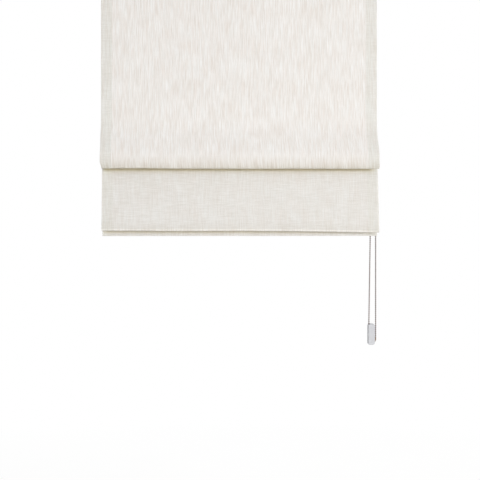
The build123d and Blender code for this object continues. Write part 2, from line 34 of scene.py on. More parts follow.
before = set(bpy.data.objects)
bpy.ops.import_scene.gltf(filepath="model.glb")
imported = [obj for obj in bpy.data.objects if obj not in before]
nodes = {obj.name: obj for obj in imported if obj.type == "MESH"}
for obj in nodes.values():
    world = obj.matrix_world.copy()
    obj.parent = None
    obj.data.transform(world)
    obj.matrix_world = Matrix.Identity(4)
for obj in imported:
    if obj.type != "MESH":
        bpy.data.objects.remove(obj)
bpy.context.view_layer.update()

# Camera: level, square on, far enough off to show the folds' spread as the picture does
PICTURE_SIZE = 480
FOCAL_PIXELS = 883
SENSOR_WIDTH = 36
CAMERA_PLACE = (0.003, -2.627, -0.837)

# Cloth: the fold line as the solid has it, with heights below the window head
CLOTH_THICKNESS = 0.0012
BELLY_START = -0.505
BELLY_FULL = -0.592
FRONT_FOLD = -0.6294
UPPER_CREST = -0.590
LOWER_FOLD = -0.810
LOWER_CREST = -0.606
HEM = -0.8244
POCKET_TOP = -0.800
BELLY_REACH = 0.041
LOWER_FOLD_REACH = 0.020
FOLD_WIDTH = 0.008
CREST_WIDTH = 0.005
LAYER_STEP = 0.0015
POCKET_WIDTH = 0.0046
POCKET_TUCK = 0.004
BELLY_START_RADIUS = 0.120
BELLY_FULL_RADIUS = 0.080
FOLD_RADIUS = 0.0039
CREST_RADIUS = 0.0022

# How finely the cloth is divided
ROW_STEP = 0.009
COLUMN_STEP = 0.007
BEND_STEP = radians(14)
FOLD_EDGE = 0.0022
EDGE_STRIP = 0.0008
EDGE_ROLL = 0.0024

# How far the cloth strays from the plain fold line, where nothing holds it
HANG_WAVE = 0.0018
HANG_RATE = (2.6, 2.1)
HANG_SEED = 1.7
FOLD_WAVE = 0.0009
FOLD_RATE = 7.0
FOLD_SEED = 4.2
DRIFT = 0.0030
STIFF_REACH = 0.045
HEM_STILL = 0.07
LEFT_TUCK = 0.0060
RIGHT_TUCK = 0.0020
TUCK_REACH = 0.050
TUCK_RUN = 0.026
LIP_SAG = 0.0050
LIP_SAG_RUN = 0.200
LIP_SAG_CURVE = 1.5

# How strongly each bend is pressed, and the painted shade, painted shadow and painted highlight laid on the
# cloth by the folds
FOLD_PRESS = 1
CREST_PRESS = 0.5
LIP_PRESS = 0.35
HEM_PRESS = 0.15
CREASE_REACH = 0.026
LIP_REACH = 0.006
LIP_SHARE = 0.6
LIP_HIGHLIGHT_RUN = 0.0032
HIGHLIGHT_GAIN = 1.075
HEM_SHADOW_SHARE = 0.6
FOLD_SHADOW_START = 0.002
FOLD_SHADOW_REACH = 0.007
FOLD_SHADOW_DEPTH = 0.020
BEHIND_SHARE = 0.6
LEFT_LIGHT = 0.008
RIGHT_LIGHT = 0.030

# Yarn: how far apart threads are drawn, and how long and wide their uneven runs are
THREAD_PITCH = 0.0013
THREAD_SHIFT = 7.37
WARP_RUN = 0.040
WEFT_RUN = 0.036
SLUB_SIZE = (0.0030, 0.060)
PATCH_SIZE = (0.040, 0.070)
HEM_FADE = 0.004

# Side hems and sewing
SIDE_HEM = 0.030
HEM_LAYER = 0.0008
HEM_LIFT = 0.00105
HEM_SHARES = (0.66, 0.33)
HEM_ROLL = ((0.0014, 1.0), (0.0006, 0.85), (0.0003, 0.50))
HEM_END = 0.060
THREAD_RADIUS = 0.00028
STITCH_LENGTH = 0.0042
STITCH_PITCH = 0.0075
STITCH_SWELL = 0.3
STITCH_TAPER = 0.5
STITCH_INSET = 0.0025
STITCH_START = 0.008
STITCH_MARGIN = 0.010
POCKET_STITCH_INSET = 0.0060
WHIP_TOP = (0.94, 0.30)
WHIP_FOOT = (0.86, 1.02)
WHIP_SLANT = 0.0016

# Sleeves, rings and the thread that ties each ring
SLEEVE_WALL = 0.0007
SLEEVE_STEP = 0.010
SLEEVE_SIDES = 16
SLEEVE_TURN_IN = 0.012
PUCKER = 0.03
PUCKER_RATE = 34
PUCKER_ROUND = 1.5
RING_WIRE = 0.0008
RING_SEAT = 0.00005
RING_STEPS = 32
TIE_TURNS = (-1.5, -0.5, 0.5, 1.5)
TIE_PITCH = 0.0006
TIE_BITE = 0.0002
TIE_REACH = 0.0018
TIE_RISE = 0.0013
TIE_STEPS = 16

# Lift cords and spools
CORD_RADIUS = 0.0007
CRADLE_FLOOR = 0.0065
CORD_BEND_RISE = 0.004
CORD_RUN_IN = 0.008
CORD_RUN_OUT = 0.010
DRUM_RADIUS = 0.008
CORD_ON_DRUM = 0.009
CORD_WRAP = radians(140)
CORD_WRAP_STEPS = 6
SPOOL_LENGTH = 0.030
SPOOL_FLANGE = 0.0015
SPOOL_EDGE = 0.0003
JOURNAL_RADIUS = 0.006
FLANGE_RADIUS = 0.0118
WOUND_TURNS = 8
WOUND_PITCH = 0.00152
WOUND_STEPS = 12
WOUND_SINK = 0.0003

# Bead chain
BEAD_PITCH = 0.006
BEAD_RADIUS = 0.00225
LINK_RADIUS = 0.0003
WHEEL_POCKETS = 12
GUIDE_POCKETS = 11
CONNECTOR_SHARE = 0.8
CONNECTOR_RADIUS = 0.0027
WHEEL_X = 0.406
WHEEL_STEPS = 48
BEAD_STEPS = 8
BEAD_MOUTH_SHARE = 0.16

# Broken edges by how a piece was made, and the shallow sunk panel in the outer face of moulded ends
MOULDED_EDGE = 0.0004
THIN_EDGE = 0.0003
BAR_EDGE = 0.0005
PRESSED_EDGE = 0.0002
PANEL_MARGIN = 0.0045
PANEL_DRAFT = 0.0004
PANEL_DEPTH = 0.0010

# Stage, and the names that repeat
FLOOR_Z = -2.2
FLOOR_REACH = 9.0
FLOOR_WHITE_SHARE = 0.8
FLOOR_FADE = 4.0
WORLD_LIGHT = 0.33
SIDES = ("left", "middle", "right")
LEVELS = ("top", "middle", "bottom")

_, cloth_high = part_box("shade_fabric")
half_width = cloth_high.x
face_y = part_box("loop_tape")[0].y - CLOTH_THICKNESS / 2
shaft_low, shaft_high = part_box("drive_shaft")
shaft_y = (shaft_low.y + shaft_high.y) / 2
shaft_z = (shaft_low.z + shaft_high.z) / 2


# Colours and nodes


def linear(code):
    # An sRGB hex colour as the linear RGBA that the shader wants
    parts = [int(code[i : i + 2], 16) / 255 for i in (1, 3, 5)]
    return (*[c / 12.92 if c <= 0.04045 else ((c + 0.055) / 1.055) ** 2.4 for c in parts], 1.0)


def add(tree, kind, inputs=None, **settings):
    # One node with its settings; an input is a value or the socket that feeds it
    made = tree.nodes.new(kind)
    for name, value in settings.items():
        setattr(made, name, value)
    for name, value in (inputs or {}).items():
        if isinstance(value, bpy.types.NodeSocket):
            tree.links.new(value, made.inputs[name])
        else:
            made.inputs[name].default_value = value
    return made


def begin(name, roughness, metallic=0.0, specular=0.5, sheen=0.0):
    # A new material with its shader already joined to the output
    material = bpy.data.materials.new(name)
    material.use_nodes = True
    tree = material.node_tree
    tree.nodes.clear()
    even = {
        "Roughness": roughness,
        "Metallic": metallic,
        "Specular IOR Level": specular,
        "Sheen Weight": sheen,
    }
    shader = add(tree, "ShaderNodeBsdfPrincipled", even)
    add(tree, "ShaderNodeOutputMaterial", {"Surface": shader.outputs["BSDF"]})
    return material, tree, shader


def slub_linen():
    # Linen, plain woven from uneven yarn: each warp thread has its own pale thick runs and beige thin ones,
    # and the weft, fainter, the same. Threads of about 0.6 mm are too fine to show, so they are drawn
    # 1.3 mm apart, with painted shade in the gaps between them. The turned hems and the folds with more
    # cloth behind show the weft plainer and are greyer: painted shade, as no daylight would come through.
    # Along the pressed folds lies a painted shade, and just under each fold a straw-toned painted shadow.
    # The belly, the lower fold's lip and the lower panel's rolled sides carry a painted highlight.
    material, tree, shader = begin("slub_linen", roughness=0.93, specular=0.15, sheen=0.10)
    on_cloth = add(tree, "ShaderNodeTexCoord").outputs["UV"]
    spot = add(tree, "ShaderNodeSeparateXYZ", {"Vector": on_cloth}).outputs
    layers = {}
    swings = []
    for name, over, along, length in (("warp", "X", "Y", WARP_RUN), ("weft", "Y", "X", WEFT_RUN)):
        strand = add(tree, "ShaderNodeMath", {0: spot[over], 1: THREAD_PITCH}, operation="SNAP").outputs[0]
        number = {0: strand, 1: THREAD_SHIFT / THREAD_PITCH}
        number = add(tree, "ShaderNodeMath", number, operation="MULTIPLY").outputs[0]
        run = add(tree, "ShaderNodeMath", {0: spot[along], 1: 1 / length}, operation="MULTIPLY").outputs[0]
        yarn = add(tree, "ShaderNodeCombineXYZ", {"X": number, "Y": run}).outputs["Vector"]
        found = {"Vector": yarn, "Scale": 1.0, "Detail": 2.0, "Roughness": 0.5}
        layers[name] = add(tree, "ShaderNodeTexNoise", found, noise_dimensions="2D").outputs["Fac"]
        turn = {0: spot[over], 1: pi / THREAD_PITCH}
        turn = add(tree, "ShaderNodeMath", turn, operation="MULTIPLY").outputs[0]
        swings.append(add(tree, "ShaderNodeMath", {0: turn}, operation="SINE").outputs[0])
    for name, (wide, tall) in (("slub", SLUB_SIZE), ("patch", PATCH_SIZE)):
        scaled = add(tree, "ShaderNodeMapping", {"Vector": on_cloth, "Scale": (1 / wide, 1 / tall, 1.0)})
        found = {"Vector": scaled.outputs["Vector"], "Scale": 1.0, "Detail": 2.0}
        layers[name] = add(tree, "ShaderNodeTexNoise", found, noise_dimensions="2D").outputs["Fac"]
    off_middle = add(tree, "ShaderNodeMath", {0: spot["X"], 1: half_width}, operation="SUBTRACT").outputs[0]
    from_middle = add(tree, "ShaderNodeMath", {0: off_middle}, operation="ABSOLUTE").outputs[0]
    inner = half_width - SIDE_HEM
    edge = {"Value": from_middle, "From Min": inner - HEM_FADE, "From Max": inner, "To Max": 0.75}
    hem = add(tree, "ShaderNodeMapRange", edge).outputs["Result"]
    # Painted shade where more cloth hangs behind and no daylight would come through; there, and on the
    # doubled hems, the weft shows plainer
    painted_backing_shade = add(tree, "ShaderNodeAttribute", attribute_name="painted_backing_shade").outputs["Fac"]
    closed = add(tree, "ShaderNodeMath", {0: hem, 1: painted_backing_shade}, operation="MAXIMUM").outputs[0]
    warp_share = {"Value": closed, "To Min": 0.95, "To Max": 0.52}
    warp_share = add(tree, "ShaderNodeMapRange", warp_share).outputs["Result"]
    weft_share = {"Value": closed, "To Min": 0.15, "To Max": 0.78}
    weft_share = add(tree, "ShaderNodeMapRange", weft_share).outputs["Result"]
    # Painted shade along the pressed folds, mottled by the yarn's uneven runs
    painted_fold_shade = add(tree, "ShaderNodeAttribute", attribute_name="painted_fold_shade").outputs["Fac"]
    uneven = {0: layers["slub"], 1: layers["patch"]}
    uneven = add(tree, "ShaderNodeMath", uneven, operation="ADD").outputs[0]
    thin = {"Value": uneven, "From Min": 0.75, "From Max": 1.25, "To Min": 0.85, "To Max": 0.5}
    thin = add(tree, "ShaderNodeMapRange", thin).outputs["Result"]
    fold_shade_tone = add(tree, "ShaderNodeMath", {0: painted_fold_shade, 1: thin}, operation="MULTIPLY").outputs[0]
    # The folds' painted shadow, a straw tone on the cloth just under each fold
    painted_fold_shadow = add(tree, "ShaderNodeAttribute", attribute_name="painted_fold_shadow").outputs["Fac"]
    painted_highlight = add(tree, "ShaderNodeAttribute", attribute_name="painted_highlight").outputs["Fac"]
    woven = add(tree, "ShaderNodeMath", {0: swings[0], 1: swings[1]}, operation="MULTIPLY").outputs[0]
    crown = add(tree, "ShaderNodeMath", {0: woven}, operation="ABSOLUTE").outputs[0]
    colour = linear("#faf9f8")
    # Yarn runs, slubs, weft and patches are the cloth's own uneven tone; the gaps between thread crowns are
    # painted shade; warp over weft is a faint check
    for tone, low, high, share, dark in (
        (layers["warp"], 0.28, 0.72, warp_share, "#eeece9"),
        (layers["slub"], 0.34, 0.62, warp_share, "#f8f4f1"),
        (layers["weft"], 0.28, 0.72, weft_share, "#f0efec"),
        (layers["patch"], 0.34, 0.66, 0.30, "#f8f4f1"),
        (crown, 0.0, 0.45, 0.80, "#eaeaea"),
        (woven, -0.3, 0.3, 0.60, "#f6f6f7"),
    ):
        tone = add(tree, "ShaderNodeMapRange", {"Value": tone, "From Min": low, "From Max": high})
        shade = add(
            tree,
            "ShaderNodeMix",
            {0: tone.outputs["Result"], 6: linear(dark), 7: linear("#ffffff")},
            data_type="RGBA",
        )
        colour = add(
            tree,
            "ShaderNodeMix",
            {0: share, 6: colour, 7: shade.outputs[2]},
            data_type="RGBA",
            blend_type="MULTIPLY",
        ).outputs[2]
    # Painted shade on the hems and the cloth with more behind, a little more painted shade on the hems,
    # painted shade along the folds, the folds' painted shadow and the painted highlight
    for share, tone in (
        (closed, linear("#f6f6f5")),
        (hem, linear("#fbfcfa")),
        (fold_shade_tone, linear("#e1ded5")),
        (painted_fold_shadow, linear("#e2d6b0")),
        (painted_highlight, (HIGHLIGHT_GAIN, HIGHLIGHT_GAIN, HIGHLIGHT_GAIN, 1.0)),
    ):
        colour = add(
            tree,
            "ShaderNodeMix",
            {0: share, 6: colour, 7: tone},
            data_type="RGBA",
            blend_type="MULTIPLY",
        ).outputs[2]
    relief = add(tree, "ShaderNodeMath", {0: layers["warp"], 1: crown}, operation="ADD").outputs[0]
    bump = add(tree, "ShaderNodeBump", {"Height": relief, "Strength": 0.25, "Distance": 0.0003})
    tree.links.new(colour, shader.inputs["Base Color"])
    tree.links.new(bump.outputs["Normal"], shader.inputs["Normal"])
    return material


def finish(name, bright, dark, grain, relief, roughness, stretch=(1, 1, 1), metallic=0.0, specular=0.5):
    # A rigid surface of two close tones shared out by its grain, with the same grain in relief
    material, tree, shader = begin(name, roughness, metallic, specular)
    on_piece = add(tree, "ShaderNodeTexCoord").outputs["Object"]
    scale = [1 / (grain * part) for part in stretch]
    scaled = add(tree, "ShaderNodeMapping", {"Vector": on_piece, "Scale": scale}).outputs["Vector"]
    found = add(tree, "ShaderNodeTexNoise", {"Vector": scaled, "Scale": 1.0, "Detail": 3.0}).outputs["Fac"]
    tone = add(tree, "ShaderNodeMapRange", {"Value": found, "From Min": 0.3, "From Max": 0.7})
    colour = add(
        tree,
        "ShaderNodeMix",
        {0: tone.outputs["Result"], 6: linear(dark), 7: linear(bright)},
        data_type="RGBA",
    )
    gloss = {"Value": found, "To Min": roughness * 1.15, "To Max": roughness * 0.85}
    rough = add(tree, "ShaderNodeMapRange", gloss)
    bump = add(tree, "ShaderNodeBump", {"Height": found, "Strength": 0.3, "Distance": relief})
    tree.links.new(colour.outputs[2], shader.inputs["Base Color"])
    tree.links.new(rough.outputs["Result"], shader.inputs["Roughness"])
    tree.links.new(bump.outputs["Normal"], shader.inputs["Normal"])
    return material


def braid(name, bright, dark, plait, roughness):
    # Yarns plaited round a core: slanting stitches in relief, with a painted highlight on the crown of each
    # yarn and painted shade between
    material, tree, shader = begin(name, roughness, specular=0.3, sheen=0.2)
    # A wave texture of scale 1 repeats after about wave_span
    wave_span = 0.31
    on_cord = add(tree, "ShaderNodeTexCoord").outputs["UV"]
    heights = []
    for slant in (1, -1):
        aslant = add(tree, "ShaderNodeMapping", {"Vector": on_cord, "Rotation": (0, 0, slant * pi / 4)})
        wave = {"Vector": aslant.outputs["Vector"], "Scale": wave_span / plait, "Distortion": 0.4}
        heights.append(add(tree, "ShaderNodeTexWave", wave).outputs["Fac"])
    height = add(tree, "ShaderNodeMath", {0: heights[0], 1: heights[1]}, operation="MAXIMUM").outputs[0]
    colour = add(tree, "ShaderNodeMix", {0: height, 6: linear(dark), 7: linear(bright)}, data_type="RGBA")
    bump = add(tree, "ShaderNodeBump", {"Height": height, "Strength": 0.5, "Distance": plait / 5})
    tree.links.new(colour.outputs[2], shader.inputs["Base Color"])
    tree.links.new(bump.outputs["Normal"], shader.inputs["Normal"])
    return material


linen = slub_linen()
# Spun polyester thread: a soft off-white twist with a dry look
thread = braid("spun_thread", "#efeae0", "#cfc6b6", plait=0.0008, roughness=0.85)
# Braided polyester cord: white plaited yarns with a slight silk; the plait is drawn coarser to show
cord_braid = braid("braided_polyester", "#f3f2ee", "#cfcdc6", plait=0.0016, roughness=0.70)
# Nylon hook-and-loop tape: a dull nap with no direction
tape_nap = finish(
    "nylon_nap_tape", "#eeeeea", "#cfcec8",
    grain=0.0012, relief=0.0006, roughness=0.95, specular=0.2,
)
# Anodised aluminium, extruded: pale satin metal with die lines along the rail
rail_metal = finish(
    "anodised_aluminium", "#cbcbca", "#bcbcbb",
    grain=0.0007, relief=0.00004, roughness=0.38, stretch=(220, 1, 1), metallic=1.0,
)
# Powder-coated spring steel: white, with a faint orange peel
coated_steel = finish(
    "powder_coated_steel", "#e9e9e6", "#dfdfdc",
    grain=0.0016, relief=0.00010, roughness=0.45,
)
# Moulded ABS: cool white plastic, its colour set greyer as painted shade, semi-gloss, with the fine spark
# texture of the tool
shaded_abs_white = finish(
    "moulded_shaded_abs", "#c9cace", "#c2c3c8",
    grain=0.0009, relief=0.00003, roughness=0.32,
)
# Moulded acetal: milky, a little waxy
acetal = finish(
    "moulded_acetal", "#e6e5e0", "#d8d7d1",
    grain=0.0030, relief=0.00003, roughness=0.42,
)
# Brown acetal: the guide wheel, its dark brown painted shade standing for the shadowed gap beside the
# tensioner, with the dry sheen of the moulding
shadow_brown_acetal = finish(
    "moulded_shadow_brown_acetal", "#85705a", "#6b5845",
    grain=0.0030, relief=0.00003, roughness=0.45,
)
# Cast nylon rings: bright milky white, smooth
ring_nylon = finish(
    "cast_nylon", "#eef0f0", "#e0e3e4",
    grain=0.0020, relief=0.00002, roughness=0.25,
)
# Zinc-plated drawn steel: grey metal with draw lines along its length
zinc_steel = finish(
    "zinc_plated_steel", "#b9babb", "#9fa0a1",
    grain=0.0008, relief=0.00004, roughness=0.34, stretch=(120, 1, 1), metallic=1.0,
)
# Pultruded glass fibre: warm white with fibres along the rod
fibre_rod = finish(
    "pultruded_glass_fibre", "#ece8d9", "#d9d3bf",
    grain=0.0006, relief=0.00004, roughness=0.5, stretch=(150, 1, 1),
)
# Antiqued ball chain: brown-toned metal, rubbed brighter in patches, each ball with its own highlight
chain_metal = finish(
    "antiqued_chain_metal", "#684338", "#3c261e",
    grain=0.0040, relief=0.00005, roughness=0.38, metallic=0.6,
)


# Making pieces


def mesh_of(name, points, faces, uvs, sharp=None):
    # A smooth-shaded mesh; edges steeper than the sharp angle stay crisp
    mesh = bpy.data.meshes.new(name)
    mesh.from_pydata([tuple(p) for p in points], [], faces)
    mesh.update()
    mesh.shade_smooth()
    if sharp:
        mesh.set_sharp_from_angle(angle=sharp)
    layer = mesh.uv_layers.new(name="UVMap")
    for loop in mesh.loops:
        layer.data[loop.index].uv = uvs[loop.vertex_index]
    return mesh


def place(name, mesh, body, slot, material, *stands_for):
    # A finished piece: on its body, with its finish, hiding the nodes that it stands for
    piece = bpy.data.objects.new(name, mesh)
    bpy.context.scene.collection.objects.link(piece)
    mesh.materials.clear()
    mesh.materials.append(material)
    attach(piece, body)
    for node in stands_for:
        nodes[node].material_slots[0].material = material
        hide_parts(node)
    return piece


def lay(name, shape, body, slot, material, *stands_for, sharp=None):
    # A piece straight from its points, faces and UVs
    return place(name, mesh_of(name, *shape, sharp), body, slot, material, *stands_for)


def joined(shapes):
    # Several shapes, each points, faces and UVs, as one
    points = []
    faces = []
    uvs = []
    for more_points, more_faces, more_uvs in shapes:
        first = len(points)
        points += more_points
        faces += [[first + corner for corner in face] for face in more_faces]
        uvs += more_uvs
    return points, faces, uvs


def tube(line, radius, sides, closed=False, taper=1.0):
    # A round tube along a line of points, capped unless closed on itself; taper narrows its two ends
    count = len(line)
    side = Vector((1, 0, 0))
    points = []
    uvs = []
    run = 0.0
    for i, here in enumerate(line):
        before = line[i - 1] if closed or i else here
        after = line[(i + 1) % count] if closed or i < count - 1 else here
        way = (after - before).normalized()
        side = side - way * side.dot(way)
        if side.length < 1e-4:
            side = way.orthogonal()
        side.normalize()
        up = way.cross(side)
        if i:
            run += (here - line[i - 1]).length
        reach = radius * (taper if not closed and i in (0, count - 1) else 1.0)
        for k in range(sides):
            turn = 2 * pi * k / sides
            points.append(here + side * (reach * cos(turn)) + up * (reach * sin(turn)))
            uvs.append((radius * turn, run))
    faces = []
    for i in range(count if closed else count - 1):
        for k in range(sides):
            a = i * sides + k
            b = i * sides + (k + 1) % sides
            c = (i + 1) % count * sides
            faces.append([a, b, c + (k + 1) % sides, c + k])
    if not closed:
        faces.append(list(range(sides))[::-1])
        faces.append([(count - 1) * sides + k for k in range(sides)])
    return points, faces, uvs


def turned(profile, centre, axis, sides):
    # A turned shape: profile pairs of distance along the axis and radius, closed by its ends
    way = Vector(axis)
    side = way.orthogonal().normalized()
    up = way.cross(side)
    points = []
    uvs = []
    for along, radius in profile:
        middle = Vector(centre) + way * along
        for k in range(sides):
            turn = 2 * pi * k / sides
            points.append(middle + side * (radius * cos(turn)) + up * (radius * sin(turn)))
            uvs.append((radius * turn, along))
    faces = []
    for i in range(len(profile) - 1):
        for k in range(sides):
            a = i * sides + k
            b = i * sides + (k + 1) % sides
            faces.append([a, b, b + sides, a + sides])
    faces.append(list(range(sides))[::-1])
    faces.append([(len(profile) - 1) * sides + k for k in range(sides)])
    return points, faces, uvs


def spline_line(name, route):
    # The smooth line through a cord's route, read from its NURBS spline
    curve = bpy.data.curves.new(name, "CURVE")
    curve.dimensions = "3D"
    spline = curve.splines.new("NURBS")
    spline.points.add(len(route) - 1)
    for point, spot in zip(spline.points, route):
        point.co = (*spot, 1.0)
    spline.order_u = 3
    spline.use_endpoint_u = True
    spline.resolution_u = 6
    carrier = bpy.data.objects.new(name, curve)
    mesh = bpy.data.meshes.new_from_object(carrier)
    line = [vertex.co.copy() for vertex in mesh.vertices]
    bpy.data.objects.remove(carrier)
    bpy.data.meshes.remove(mesh)
    bpy.data.curves.remove(curve)
    return line


# Cloth


def fold_rows():
    # The rounded fold line as rows: place, share of the sideways drift and pressed share
    belly_y = face_y - BELLY_REACH
    lower_y = face_y - LOWER_FOLD_REACH
    crest_back = face_y + CREST_WIDTH
    crest_front = crest_back + LAYER_STEP
    hem_y = crest_front + CREST_WIDTH
    pocket_y = hem_y + POCKET_WIDTH
    # Each corner: its place, bend radius, share of the drift and pressed share
    corners = (
        (face_y, cloth_high.z, 0, 0, 0),
        (face_y, BELLY_START, BELLY_START_RADIUS, 0, 0),
        (belly_y, BELLY_FULL, BELLY_FULL_RADIUS, 0.6, 0),
        (belly_y, FRONT_FOLD, FOLD_RADIUS, 1.0, FOLD_PRESS),
        (belly_y + FOLD_WIDTH, FRONT_FOLD, FOLD_RADIUS, 1.0, FOLD_PRESS),
        (face_y, UPPER_CREST, CREST_RADIUS, 0.8, CREST_PRESS),
        (crest_back, UPPER_CREST, CREST_RADIUS, 0.8, CREST_PRESS),
        (lower_y, LOWER_FOLD, FOLD_RADIUS, 1.3, LIP_PRESS),
        (lower_y + FOLD_WIDTH, LOWER_FOLD, FOLD_RADIUS, 1.3, LIP_PRESS),
        (crest_front, LOWER_CREST, CREST_RADIUS, 0.6, CREST_PRESS),
        (hem_y, LOWER_CREST, CREST_RADIUS, 0.6, CREST_PRESS),
        (hem_y, HEM, CREST_RADIUS, 0.7, HEM_PRESS),
        (pocket_y, HEM, CREST_RADIUS, 0.7, HEM_PRESS),
        (pocket_y, POCKET_TOP, CLOTH_THICKNESS, 0.7, HEM_PRESS),
        (hem_y + CLOTH_THICKNESS, POCKET_TOP + POCKET_TUCK, 0, 0.7, HEM_PRESS),
    )
    line = [(Vector(corners[0][:2]), 0.0, 0.0)]

    def straight_to(end, drift, pressed):
        start, old_drift, _ = line[-1]
        length = (end - start).length
        steps = max(1, ceil(length / ROW_STEP))
        shares = [step / steps for step in range(1, steps + 1)]
        if pressed and length > 2 * FOLD_EDGE:
            shares.insert(-1, 1 - FOLD_EDGE / length)
        for share in shares:
            drifted = old_drift + (drift - old_drift) * share
            line.append((start.lerp(end, share), drifted, pressed * (share == 1)))

    for before, corner, after in zip(corners, corners[1:], corners[2:]):
        spot = Vector(corner[:2])
        back = (Vector(before[:2]) - spot).normalized()
        on = (Vector(after[:2]) - spot).normalized()
        radius, drift, pressed = corner[2:]
        turn = pi - acos(max(-1.0, min(1.0, back.dot(on))))
        start = spot + back * (radius * tan(turn / 2))
        centre = spot + (back + on).normalized() * (radius / cos(turn / 2))
        straight_to(start, drift, pressed)
        way = 1 if back.x * on.y - back.y * on.x < 0 else -1
        steps = max(2, ceil(turn / BEND_STEP))
        arm = start - centre
        for step in range(1, steps + 1):
            angle = way * turn * step / steps
            swung_x = arm.x * cos(angle) - arm.y * sin(angle)
            swung_y = arm.x * sin(angle) + arm.y * cos(angle)
            line.append((centre + Vector((swung_x, swung_y)), drift, pressed))
    straight_to(Vector(corners[-1][:2]), corners[-1][3], corners[-1][4])
    return line


def lining_sides(line):
    # Unit vectors from each row towards the window side of the cloth
    sides = []
    for i, (here, _, _) in enumerate(line):
        before = line[max(0, i - 1)][0]
        after = line[min(len(line) - 1, i + 1)][0]
        way = (after - before).normalized()
        sides.append(Vector((-way.y, way.x)))
    return sides


rows = fold_rows()
row_sides = lining_sides(rows)
row_runs = [0.0]
for (here, _, _), (there, _, _) in zip(rows, rows[1:]):
    row_runs.append(row_runs[-1] + (there - here).length)
pressed_runs = [(run, row[2]) for run, row in zip(row_runs, rows) if row[2] > 0]
rod_centres = {}
for level in LEVELS:
    low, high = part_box("rod_" + level)
    rod_centres[level] = (low + high) / 2
tape_low, tape_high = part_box("loop_tape")
tape_run = tape_high.z - tape_low.z
top_rod_run = cloth_high.z - rod_centres["top"].z
held_runs = [0.0, tape_run, top_rod_run] + [run for run, share in pressed_runs if share == CREST_PRESS]


def crease_at(run):
    # How strongly the cloth is pressed there: full in a fold, fading out beside it
    return max(share * max(0.0, 1 - abs(run - fold) / CREASE_REACH) for fold, share in pressed_runs)


def looseness(run):
    # How freely the cloth may stray there: not at all on the tape, a rod or the bar
    clear = min(abs(run - held) for held in held_runs)
    above_bar = min(1.0, (row_runs[-1] - run) / HEM_STILL)
    return min(1.0, clear / STIFF_REACH) ** 2 * (run > tape_run) * above_bar


creases = [crease_at(run) for run in row_runs]
slack = [max(0.0, looseness(run)) for run in row_runs]
fold_run = min(run for run, share in pressed_runs if share == FOLD_PRESS)
lip_run = min(run for run, share in pressed_runs if share == LIP_PRESS)
hem_run = min(run for run, share in pressed_runs if share == HEM_PRESS)
# Painted shade where more cloth hangs behind, eased at the lower fold's lip as a painted highlight
near_lip = [abs(run - lip_run - FOLD_RADIUS) < LIP_REACH for run in row_runs]
backing_shade = [float(run > fold_run) * (LIP_SHARE if lip else 1.0) for run, lip in zip(row_runs, near_lip)]


def painted_shadow_at(row):
    # The fold in front's painted shadow: how strongly it falls on the lower panel and the hem, just under a
    # fold
    here = rows[row][0]
    run = row_runs[row]
    edge, most = (FRONT_FOLD, 1.0) if run < lip_run else (LOWER_FOLD, HEM_SHADOW_SHARE)
    behind = here.x > face_y - LOWER_FOLD_REACH * BEHIND_SHARE and fold_run < run < hem_run
    below = min(1.0, max(0.0, 1 - (edge - FOLD_SHADOW_START - here.y) / FOLD_SHADOW_REACH))
    above = min(1.0, max(0.0, 1 - (here.y - edge) / FOLD_SHADOW_DEPTH))
    return behind * most * below * above


painted_fold_shadow = [painted_shadow_at(row) for row in range(len(rows))]
# Painted highlight: the belly, tilting up towards the light, the lower fold's lip and the lower panel's
# rolled sides are made paler
belly_tilt = sin(atan2(BELLY_REACH, BELLY_START - BELLY_FULL))
painted_highlight = [max(0.0, -side.y / belly_tilt) * (run < fold_run) for side, run in zip(row_sides, row_runs)]
lip_highlight = [float(lip_run <= run < lip_run + LIP_HIGHLIGHT_RUN) for run in row_runs]
tucked = [max(0.0, 1 - abs(run - fold_run - FOLD_RADIUS) / TUCK_RUN) ** 2 for run in row_runs]
sagging = [max(0.0, 1 - abs(run - lip_run - FOLD_RADIUS) / LIP_SAG_RUN) for run in row_runs]


def cloth_point(x, row, lift=0.0):
    # A point of the cloth's middle layer, or lifted from it towards the window side
    here, drift, _ = rows[row]
    run = row_runs[row]
    hang = noise.noise(Vector((x * HANG_RATE[0], run * HANG_RATE[1], HANG_SEED)))
    hang = HANG_WAVE * slack[row] * hang
    out = row_sides[row] * (hang + lift)
    dip = FOLD_WAVE * creases[row] * slack[row] * noise.noise(Vector((x * FOLD_RATE, FOLD_SEED, run)))
    dip -= LIP_SAG * sagging[row] * max(0.0, x / half_width) ** LIP_SAG_CURVE
    tuck = LEFT_TUCK * max(0.0, 1 - (x + half_width) / TUCK_REACH) ** 2
    tuck -= RIGHT_TUCK * max(0.0, 1 - (half_width - x) / TUCK_REACH) ** 2
    return Vector((x + DRIFT * drift + tuck * tucked[row], here.x + out.x, here.y + out.y + dip))


